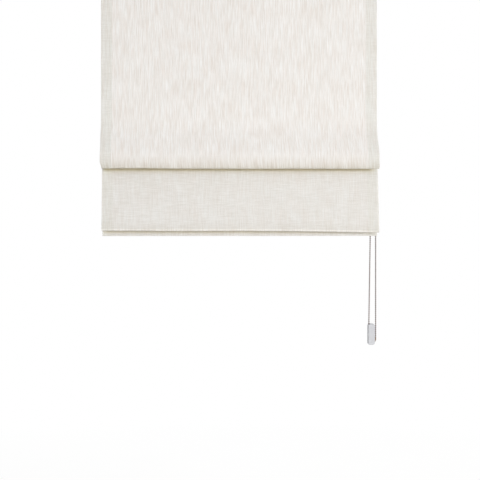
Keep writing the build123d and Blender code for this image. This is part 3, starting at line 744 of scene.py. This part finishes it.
def make_cloth():
    columns = ceil(2 * half_width / COLUMN_STEP)
    xs = [half_width * (2 * column / columns - 1) for column in range(columns + 1)]
    strips = (EDGE_STRIP, EDGE_ROLL, EDGE_ROLL + EDGE_STRIP)
    xs[1:1] = [strip - half_width for strip in strips]
    xs[-1:-1] = [half_width - strip for strip in reversed(strips)]
    points = []
    uvs = []
    for row in range(len(rows)):
        for x in xs:
            points.append(cloth_point(x, row))
            uvs.append((x + half_width, row_runs[row]))
    wide = len(xs)
    faces = []
    for row in range(len(rows) - 1):
        for column in range(wide - 1):
            a = row * wide + column
            faces.append([a, a + wide, a + wide + 1, a + 1])
    mesh = mesh_of("linen_shade", points, faces, uvs)
    # The painted fold shadow fades out at the cloth's ends, most at the right, where the key light gets in
    # under the folds
    fold_shadow_ends = [min(1.0, (half_width + x) / LEFT_LIGHT, (half_width - x) / RIGHT_LIGHT) for x in xs]
    # The lower panel's rolled sides get a painted highlight
    rolled = [float(half_width - abs(x) < EDGE_ROLL + EDGE_STRIP / 2) for x in xs]
    # Per point: painted shade along the folds, painted shade where cloth hangs behind, the folds' painted
    # shadow and the painted highlight
    tones = {
        "painted_fold_shade": lambda row, column: creases[row],
        "painted_backing_shade": lambda row, column: backing_shade[row],
        "painted_fold_shadow": lambda row, column: painted_fold_shadow[row] * fold_shadow_ends[column],
        "painted_highlight": lambda row, column: max(
            painted_highlight[row], lip_highlight[row], rolled[column] * (fold_run < row_runs[row] < lip_run)
        ),
    }
    for name, tone in tones.items():
        layer = mesh.attributes.new(name, "FLOAT", "POINT")
        for spot in range(len(points)):
            layer.data[spot].value = tone(*divmod(spot, wide))
    cloth = place("linen_shade", mesh, "blind", "linen", linen, "shade_fabric")
    thicken(cloth, CLOTH_THICKNESS)
    return cloth


def thicken(piece, thickness):
    layer = piece.modifiers.new("thickness", "SOLIDIFY")
    layer.thickness = thickness
    layer.offset = 0.0


hem_rows = [row for row in range(len(rows)) if row_runs[row] < row_runs[-1] - HEM_END]


def make_side_hem(name, side):
    # The cloth's edge turned to the window side, rolled over at the outside
    spread = [(half_width - SIDE_HEM, 1.0), (half_width - SIDE_HEM + EDGE_STRIP, 1.0)]
    spread += [(half_width - SIDE_HEM * share, 1.0) for share in HEM_SHARES]
    spread += [(half_width - inset, share) for inset, share in HEM_ROLL]
    points = []
    uvs = []
    for row in hem_rows:
        for x, share in spread:
            points.append(cloth_point(side * x, row, HEM_LIFT * share))
            uvs.append((half_width + side * x, row_runs[row]))
    wide = len(spread)
    faces = []
    for step in range(len(hem_rows) - 1):
        for column in range(wide - 1):
            a = step * wide + column
            faces.append([a, a + wide, a + wide + 1, a + 1])
    hem = lay(name, (points, faces, uvs), "blind", "linen", linen)
    thicken(hem, HEM_LAYER)
    return hem


def stitch(start, end, rise):
    # One stitch: a short thread that dips into the cloth at both ends
    middle = (start + end) / 2 + rise
    swell = rise * STITCH_SWELL
    line = [start, start.lerp(middle, 0.5) + swell, middle, end.lerp(middle, 0.5) + swell, end]
    return tube(line, THREAD_RADIUS, 5, taper=STITCH_TAPER)


def row_at(run):
    # The row whose run along the cloth is nearest
    return min(range(len(rows)), key=lambda row: abs(row_runs[row] - run))


def side_hem_stitches():
    shapes = []
    x = half_width - SIDE_HEM + STITCH_INSET
    lift = HEM_LIFT + HEM_LAYER / 2
    count = int((row_runs[hem_rows[-1]] - STITCH_MARGIN) / STITCH_PITCH)
    for side in (-1, 1):
        for number in range(count):
            run = STITCH_START + number * STITCH_PITCH
            start = between_rows(side * x, run, lift)
            end = between_rows(side * x, run + STITCH_LENGTH, lift)
            out = row_sides[row_at(run)]
            shapes.append(stitch(start, end, Vector((0, out.x, out.y)) * THREAD_RADIUS))
    return shapes


def between_rows(x, run, lift):
    # A point at any run along the cloth
    after = next(row for row in range(1, len(rows)) if row_runs[row] >= run or row == len(rows) - 1)
    share = (run - row_runs[after - 1]) / (row_runs[after] - row_runs[after - 1])
    return cloth_point(x, after - 1, lift).lerp(cloth_point(x, after, lift), share)


def pocket_stitches():
    # The row that closes the bar's pocket, on its window side
    shapes = []
    lift = CLOTH_THICKNESS / 2
    run = row_runs[-1] - POCKET_STITCH_INSET
    out = row_sides[row_at(run)]
    rise = Vector((0, out.x, out.y)) * THREAD_RADIUS
    count = int((2 * half_width - 2 * STITCH_MARGIN) / STITCH_PITCH)
    for number in range(count):
        x = STITCH_MARGIN - half_width + number * STITCH_PITCH
        start = between_rows(x, run, lift)
        end = between_rows(x + STITCH_LENGTH, run, lift)
        shapes.append(stitch(start, end, rise))
    return shapes


cloth = make_cloth()
side_hems = [make_side_hem("side_hem_left", -1), make_side_hem("side_hem_right", 1)]
hem_shapes = side_hem_stitches() + pocket_stitches()
hem_sewing = lay("hem_stitches", joined(hem_shapes), "blind", "linen", thread)

# Rod sleeves: narrow tubes of the same linen, sewn to the cloth along both sides


def make_sleeve(level):
    low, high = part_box("rod_sleeve_" + level)
    centre = (low + high) / 2
    radius = (high.y - low.y) / 2
    bore = radius - SLEEVE_WALL
    sides = SLEEVE_SIDES
    steps = ceil((high.x - low.x) / SLEEVE_STEP)
    rings = [(low.x + SLEEVE_TURN_IN, bore), (low.x, bore)]
    rings += [(low.x + (high.x - low.x) * step / steps, radius) for step in range(steps + 1)]
    rings += [(high.x, bore), (high.x - SLEEVE_TURN_IN, bore)]
    points = []
    uvs = []
    for x, reach in rings:
        for k in range(sides):
            turn = 2 * pi * k / sides
            spot = Vector((x * PUCKER_RATE, PUCKER_ROUND * cos(turn), PUCKER_ROUND * sin(turn)))
            pucker = 1 - PUCKER * (0.5 + 0.5 * noise.noise(spot))
            y = centre.y + reach * pucker * cos(turn)
            z = centre.z + reach * pucker * sin(turn)
            points.append(Vector((x, y, z)))
            uvs.append((x + half_width, centre.z + radius * turn))
    faces = []
    for i in range(len(rings) - 1):
        for k in range(sides):
            a = i * sides + k
            b = i * sides + (k + 1) % sides
            faces.append([a, b, b + sides, a + sides])
    shape = (points, faces, uvs)
    return lay("sleeve_" + level, shape, "blind", "linen", linen, "rod_sleeve_" + level, sharp=radians(60))


def sleeve_stitches(level):
    # Whip stitches from the sleeve down to the cloth, on the side that faces the window
    low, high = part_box("rod_sleeve_" + level)
    centre = (low + high) / 2
    radius = (high.y - low.y) / 2
    on_face = level == "top"
    out = Vector((0, 0, -1)) if on_face else Vector((0, 1, 0))
    down = Vector((0, -1, 0)) if on_face else Vector((0, 0, -1))
    shapes = []
    count = int((high.x - low.x - 2 * STITCH_MARGIN) / STITCH_PITCH)
    for number in range(count):
        x = low.x + STITCH_MARGIN + number * STITCH_PITCH
        base = Vector((x, centre.y, centre.z))
        start = base + (out * WHIP_TOP[0] + down * WHIP_TOP[1]).normalized() * radius
        end = base + out * radius * WHIP_FOOT[0] + down * radius * WHIP_FOOT[1]
        end += Vector((WHIP_SLANT, 0, 0))
        shapes.append(stitch(start, end, out * THREAD_RADIUS))
    return shapes


sewing = []
for level in LEVELS:
    make_sleeve(level)
    sewing += sleeve_stitches(level)
lay("sleeve_stitches", joined(sewing), "blind", "linen", thread)

# Cord rings with the thread that ties each to its sleeve

cord_xs = [(low.x + high.x) / 2 for low, high in (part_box("lift_cord_" + side) for side in SIDES)]
ring_low, ring_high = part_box("cord_rings")
ring_reach = (ring_high.x - ring_low.x - cord_xs[2] + cord_xs[0]) / 2
ring_shapes = []
tie_shapes = []
for level, rod in rod_centres.items():
    sleeve_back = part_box("rod_sleeve_" + level)[1].y
    middle_y = sleeve_back + ring_reach + RING_SEAT
    wire = ring_reach - RING_WIRE
    for x in cord_xs:
        middle = Vector((x, middle_y, rod.z))
        circle = []
        for k in range(RING_STEPS):
            turn = 2 * pi * k / RING_STEPS
            circle.append(middle + Vector((wire * cos(turn), wire * sin(turn), 0)))
        ring_shapes.append(tube(circle, RING_WIRE, 10, closed=True))
        for number in TIE_TURNS:
            tie = middle + Vector((number * TIE_PITCH, -ring_reach + TIE_BITE, 0))
            loop = []
            for k in range(TIE_STEPS):
                turn = 2 * pi * k / TIE_STEPS
                loop.append(tie + Vector((0, TIE_REACH * cos(turn), TIE_RISE * sin(turn))))
            tie_shapes.append(tube(loop, THREAD_RADIUS, 6, closed=True))
lay("sewn_rings", joined(ring_shapes), "blind", "ring_plastic", ring_nylon, "cord_rings")
lay("ring_ties", joined(tie_shapes), "blind", "linen", thread)

# Lift cords: off the drum, through the eyelet, down through the rings to the lock

cord_low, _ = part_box("lift_cord_middle")
lock_low, lock_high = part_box("cord_locks")
cord_y = (lock_low.y + lock_high.y) / 2
cradle_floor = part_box("spool_cradle_middle")[0].z + CRADLE_FLOOR
bend_z = cradle_floor + CORD_BEND_RISE
run_y = shaft_y - cord_y
run_z = shaft_z - bend_z
reach = hypot(run_y, run_z)
slope = atan2(run_z, run_y) + asin(CORD_ON_DRUM / reach)
tangent = sqrt(reach**2 - CORD_ON_DRUM**2)
off_drum = (cord_y + tangent * cos(slope), bend_z + tangent * sin(slope))
start_angle = atan2(off_drum[1] - shaft_z, off_drum[0] - shaft_y)


def drum_point(x, angle, reach=CORD_ON_DRUM):
    return (x, shaft_y + reach * cos(angle), shaft_z + reach * sin(angle))


def cord_route(x):
    steps = CORD_WRAP_STEPS
    wrap = [drum_point(x, start_angle - CORD_WRAP * step / steps) for step in range(steps, 0, -1)]
    return wrap + [
        (x, *off_drum),
        (x, cord_y, bend_z),
        (x, cord_y, bend_z - CORD_RUN_IN),
        (x, cord_y, cord_low.z + CORD_RUN_OUT),
        (x, cord_y, cord_low.z),
    ]


def wound_route(x):
    first = start_angle - CORD_WRAP
    route = []
    for step in range(WOUND_STEPS * WOUND_TURNS + 1):
        angle = first - 2 * pi * step / WOUND_STEPS
        route.append(drum_point(x + WOUND_PITCH * step / WOUND_STEPS, angle, CORD_ON_DRUM - WOUND_SINK))
    return route


for side, x in zip(SIDES, cord_xs):
    cord_name = "cord_" + side
    cord_line = spline_line(cord_name, cord_route(x))
    cord_shape = tube(cord_line, CORD_RADIUS, 10)
    lay(cord_name, cord_shape, "blind", "lift_cord", cord_braid, "lift_cord_" + side)

# Spools with the cord already wound on them, which turn with the shaft


def spool_profile(length):
    # Half the spool by distance from its outer end: journal, flange, drum
    journal = (length - SPOOL_LENGTH) / 2
    soft = SPOOL_EDGE
    inner = journal + SPOOL_FLANGE
    half = [
        (0, JOURNAL_RADIUS - soft),
        (soft, JOURNAL_RADIUS),
        (journal, JOURNAL_RADIUS),
        (journal, FLANGE_RADIUS - soft),
        (journal + soft, FLANGE_RADIUS),
        (inner - soft, FLANGE_RADIUS),
        (inner, FLANGE_RADIUS - soft),
        (inner, DRUM_RADIUS),
    ]
    return half + [(length - along, radius) for along, radius in reversed(half)]


for side, x in zip(SIDES, cord_xs):
    low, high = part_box("cord_spool_" + side)
    spool = turned(spool_profile(high.x - low.x), (low.x, shaft_y, shaft_z), (1, 0, 0), 40)
    spool_node = "cord_spool_" + side
    lay("spool_" + side, spool, "drive", "drive_plastic", acetal, spool_node, sharp=radians(40))
    wound = tube(spline_line("wound_" + side, wound_route(x)), CORD_RADIUS, 8)
    lay("wound_cord_" + side, wound, "drive", "lift_cord", cord_braid)

# Cord locks: small turned barrels at the cord ends

lock_length = lock_high.z - lock_low.z
lock_radius = (lock_high.y - lock_low.y) / 2
# Half a barrel by shares of its length and radius, from the rounded end to the groove round its middle
lock_shares = ((0, 0.55), (0.04, 0.85), (0.16, 1), (0.46, 1), (0.48, 0.93))
half_lock = [(lock_length * along, lock_radius * share) for along, share in lock_shares]
lock_profile = half_lock + [(lock_length - along, radius) for along, radius in reversed(half_lock)]
locks = [turned(lock_profile, (x, cord_y, lock_low.z), (0, 0, 1), 20) for x in cord_xs]
lay("cord_lock_barrels", joined(locks), "blind", "drive_plastic", acetal, "cord_locks", sharp=radians(50))

# Bead chain: balls on short links, over the clutch wheel and under the tensioner's wheel

guide_low, guide_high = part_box("tensioner_wheel")
guide_x = (guide_low.x + guide_high.x) / 2
guide_z = (guide_low.z + guide_high.z) / 2
wheel_radius = WHEEL_POCKETS * BEAD_PITCH / (2 * pi)
guide_radius = GUIDE_POCKETS * BEAD_PITCH / (2 * pi)


def chain_loop():
    # The closed loop as close points: down in front, under the guide wheel,
    # up behind and over the clutch wheel
    loop = [Vector((WHEEL_X, shaft_y - wheel_radius, shaft_z))]
    for step in range(WHEEL_STEPS + 1):
        turn = pi * step / WHEEL_STEPS
        x = guide_x + guide_radius * cos(turn)
        loop.append(Vector((x, shaft_y, guide_z - guide_radius * sin(turn))))
    for step in range(WHEEL_STEPS):
        turn = pi * step / WHEEL_STEPS
        y = shaft_y + wheel_radius * cos(turn)
        loop.append(Vector((WHEEL_X, y, shaft_z + wheel_radius * sin(turn))))
    return loop


def evenly(loop, pitch):
    # Points at even steps round a closed loop, the step nearest to the pitch that closes it
    ends = list(zip(loop, loop[1:] + loop[:1]))
    total = sum((b - a).length for a, b in ends)
    count = round(total / pitch)
    step = total / count
    spots = []
    run = 0.0
    for a, b in ends:
        length = (b - a).length
        while len(spots) < count and len(spots) * step <= run + length:
            spots.append(a.lerp(b, (len(spots) * step - run) / length))
        run += length
    return spots


bead_spots = evenly(chain_loop(), BEAD_PITCH)
bead_count = len(bead_spots)
connector_at = round(CONNECTOR_SHARE * bead_count)
bead_profile = []
for k in range(BEAD_STEPS + 1):
    turn = pi * k / BEAD_STEPS
    bead_profile.append((-BEAD_RADIUS * cos(turn), BEAD_RADIUS * max(BEAD_MOUTH_SHARE, sin(turn))))
half_connector = (
    (0.0030, 0.0012),
    (0.0028, 0.0020),
    (0.0020, CONNECTOR_RADIUS),
    (0.0003, CONNECTOR_RADIUS),
    (0.0002, CONNECTOR_RADIUS * 0.92),
)
connector_profile = [(-along, radius) for along, radius in half_connector] + list(reversed(half_connector))
bead_shapes = []
for number, spot in enumerate(bead_spots):
    after = bead_spots[(number + 1) % bead_count]
    way = (after - bead_spots[number - 1]).normalized()
    bead_shapes.append(tube([spot, after], LINK_RADIUS, 6))
    if number == connector_at:
        joint = turned(connector_profile, spot, way, 20)
    else:
        bead_shapes.append(turned(bead_profile, spot, way, 10))
lay("ball_chain", joined(bead_shapes), "blind", "chain_metal", chain_metal, "bead_chain")
lay("chain_joint", joint, "blind", "ring_plastic", ring_nylon, "chain_connector", sharp=radians(40))

# Moulded, pressed and extruded pieces, with their edges broken as the tool leaves them


def edged(name, node, body, slot, material, edge, sunk=None):
    # The node's own shape with its sharp edges broken, and a sunk panel in its face towards sunk
    mesh = nodes[node].data.copy()
    shape = bmesh.new()
    shape.from_mesh(mesh)
    bmesh.ops.remove_doubles(shape, verts=shape.verts, dist=1e-6)
    bmesh.ops.dissolve_limit(shape, angle_limit=radians(2), verts=shape.verts, edges=shape.edges)
    if sunk:
        facing = [face for face in shape.faces if face.normal.dot(Vector(sunk)) > 0.99]
        panel = max(facing, key=lambda face: face.calc_area())
        bmesh.ops.inset_region(shape, faces=[panel], thickness=PANEL_MARGIN)
        bmesh.ops.inset_region(shape, faces=[panel], thickness=PANEL_DRAFT, depth=-PANEL_DEPTH)
    sharp = [e for e in shape.edges if len(e.link_faces) == 2 and e.calc_face_angle() > radians(35)]
    bmesh.ops.bevel(
        shape, geom=sharp, offset=edge, segments=2, profile=0.5, affect="EDGES", clamp_overlap=True
    )
    shape.to_mesh(mesh)
    shape.free()
    mesh.shade_smooth()
    mesh.set_sharp_from_angle(angle=radians(32))
    piece = place(name, mesh, body, slot, material, node)
    piece.modifiers.new("even_shading", "WEIGHTED_NORMAL").keep_sharp = True
    return piece


edged("rail", "headrail", "blind", "rail_aluminium", rail_metal, THIN_EDGE)
edged("rail_end_cap", "end_cap", "blind", "white_plastic", shaded_abs_white, MOULDED_EDGE, sunk=(-1, 0, 0))
edged("clutch_body", "clutch_housing", "blind", "white_plastic", shaded_abs_white, MOULDED_EDGE)
edged("clutch_lid", "clutch_cover", "blind", "white_plastic", shaded_abs_white, MOULDED_EDGE, sunk=(1, 0, 0))
edged("tensioner_lid", "tensioner_cover", "blind", "white_plastic", shaded_abs_white, MOULDED_EDGE)
edged("tensioner_plate", "tensioner_base", "blind", "white_plastic", shaded_abs_white, THIN_EDGE)
edged("weight_bar", "bottom_bar", "blind", "rail_aluminium", rail_metal, BAR_EDGE)
for side in SIDES:
    edged("cradle_" + side, "spool_cradle_" + side, "blind", "white_plastic", shaded_abs_white, THIN_EDGE)
for side in ("left", "right"):
    bracket = "mounting_bracket_" + side
    edged("bracket_" + side, bracket, "blind", "bracket_steel", coated_steel, PRESSED_EDGE)
    latch = "latch_" + side
    edged(latch + "_lever", "bracket_" + latch, latch, "bracket_steel", coated_steel, PRESSED_EDGE)

# Pieces whose solids already have their shape

for node, material in (
    ("drive_shaft", zinc_steel),
    ("shaft_bush", acetal),
    ("chain_wheel", acetal),
    ("tensioner_wheel", shadow_brown_acetal),
    ("hook_tape", tape_nap),
    ("loop_tape", tape_nap),
    ("rod_top", fibre_rod),
    ("rod_middle", fibre_rod),
    ("rod_bottom", fibre_rod),
):
    nodes[node].material_slots[0].material = material

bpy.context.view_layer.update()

# Stage: a pale floor far below, a low soft key from the right, fills from the left, below and behind


def studio_floor():
    mesh = bpy.data.meshes.new("studio_floor")
    signs = ((-1, -1), (1, -1), (1, 1), (-1, 1))
    corners = [(FLOOR_REACH * x, FLOOR_REACH * y, 0) for x, y in signs]
    mesh.from_pydata(corners, [], [(0, 1, 2, 3)])
    floor = bpy.data.objects.new("studio_floor", mesh)
    floor.location.z = FLOOR_Z
    bpy.context.scene.collection.objects.link(floor)
    mesh.materials.append(painted_floor())
    return floor


def seen_plainly(tree):
    # 1 for what the camera, a mirror or something clear shows, 0 for the light that a surface gathers
    path = add(tree, "ShaderNodeLightPath").outputs
    mirrored = {0: path["Is Glossy Ray"], 1: path["Is Transmission Ray"]}
    mirrored = add(tree, "ShaderNodeMath", mirrored, operation="MAXIMUM").outputs[0]
    seen = {0: path["Is Camera Ray"], 1: mirrored}
    return add(tree, "ShaderNodeMath", seen, operation="MAXIMUM").outputs[0]


def painted_floor():
    # Matt white paint with a faint cloudiness, lost in the white of the backdrop away from the middle
    material = finish(
        "painted_floor", "#f4f4f2", "#ececea",
        grain=0.4, relief=0.0001, roughness=0.9, specular=0.1,
    )
    tree = material.node_tree
    on_floor = add(tree, "ShaderNodeTexCoord").outputs["Object"]
    off_middle = add(tree, "ShaderNodeVectorMath", {0: on_floor}, operation="LENGTH").outputs["Value"]
    fade = {"Value": off_middle, "From Min": 0.5, "From Max": FLOOR_FADE, "To Min": FLOOR_WHITE_SHARE}
    fade = add(tree, "ShaderNodeMapRange", fade).outputs["Result"]
    share = add(tree, "ShaderNodeMath", {0: seen_plainly(tree), 1: fade}, operation="MULTIPLY")
    white = add(tree, "ShaderNodeEmission", {"Color": linear("#ffffff"), "Strength": 1.0})
    paint = next(node for node in tree.nodes if node.type == "BSDF_PRINCIPLED")
    output = next(node for node in tree.nodes if node.type == "OUTPUT_MATERIAL")
    both = add(
        tree,
        "ShaderNodeMixShader",
        {0: share.outputs[0], 1: paint.outputs["BSDF"], 2: white.outputs["Emission"]},
    )
    tree.links.new(both.outputs["Shader"], output.inputs["Surface"])
    return material


def soft_light(name, spot, aim, size, power, code):
    lamp = bpy.data.lights.new(name, "AREA")
    lamp.size = size
    lamp.energy = power
    lamp.color = linear(code)[:3]
    light = bpy.data.objects.new(name, lamp)
    light.location = spot
    light.rotation_euler = (Vector(aim) - Vector(spot)).to_track_quat("-Z", "Y").to_euler()
    bpy.context.scene.collection.objects.link(light)
    return light


studio_floor()
soft_light("key", spot=(4.70, -6.48, -0.30), aim=(0, 0, -0.65), size=1.5, power=348, code="#fffefc")
soft_light("fill", spot=(-3.4, -3.0, 1.4), aim=(0, 0, -0.6), size=3.0, power=42, code="#fafcff")
soft_light("bounce", spot=(0.0, -1.3, -2.0), aim=(0, 0, -0.7), size=1.6, power=7, code="#fffdf8")
# The rear light fills the cloth's window side; metal there mirrors the white studio and not the lamp
rear = soft_light("rear", spot=(0.6, 3.0, 0.9), aim=(0, 0, -0.5), size=4.5, power=118, code="#ffffff")
rear.visible_glossy = False

world = bpy.data.worlds.new("studio")
world.use_nodes = True
sky = world.node_tree
sky.nodes.clear()
around = add(sky, "ShaderNodeBackground", {"Color": linear("#ffffff"), "Strength": WORLD_LIGHT})
backdrop = add(sky, "ShaderNodeBackground", {"Color": linear("#ffffff"), "Strength": 1.0})
chosen = add(
    sky,
    "ShaderNodeMixShader",
    {0: seen_plainly(sky), 1: around.outputs["Background"], 2: backdrop.outputs["Background"]},
)
add(sky, "ShaderNodeOutputWorld", {"Surface": chosen.outputs["Shader"]})
bpy.context.scene.world = world
bpy.context.scene.view_settings.view_transform = "Standard"

lens = bpy.data.cameras.new("camera")
lens.sensor_width = SENSOR_WIDTH
lens.lens = SENSOR_WIDTH * FOCAL_PIXELS / PICTURE_SIZE
camera = bpy.data.objects.new("camera", lens)
camera.location = CAMERA_PLACE
camera.rotation_euler = (pi / 2, 0, 0)
bpy.context.scene.collection.objects.link(camera)
bpy.context.scene.camera = camera
